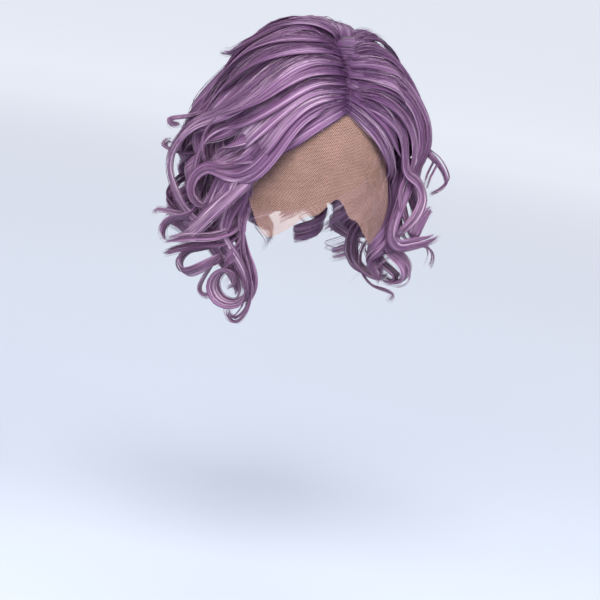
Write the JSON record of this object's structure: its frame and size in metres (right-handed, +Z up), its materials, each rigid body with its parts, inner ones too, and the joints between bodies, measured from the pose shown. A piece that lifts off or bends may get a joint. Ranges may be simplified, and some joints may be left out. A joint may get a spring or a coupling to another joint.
{
  "type": "short curly wig",
  "caption": "Short curly lace front wig with a centre parting: sheer lace front, stretch cap and locks of wavy purple hair that fall in loose ringlets; worn on a head.",
  "frame": {"origin": "inside of the cap at the crown, where the wig sits on the head", "axes": "+Z up out of the crown, -Y towards the wearer's face, +X towards the wearer's left"},
  "size_m": [0.2551, 0.2339, 0.2922],
  "materials": {
    "hair": "purple synthetic fibre with a soft gloss, darker at the roots",
    "lace": "sheer beige hexagon net",
    "cap": "dark plum stretch net with sewn weft rows"
  },
  "bodies": {
    "root": {"lace_front": "lace", "wig_cap": "cap", "hair_right": "hair", "hair_left": "hair"}
  },
  "joints": []
}
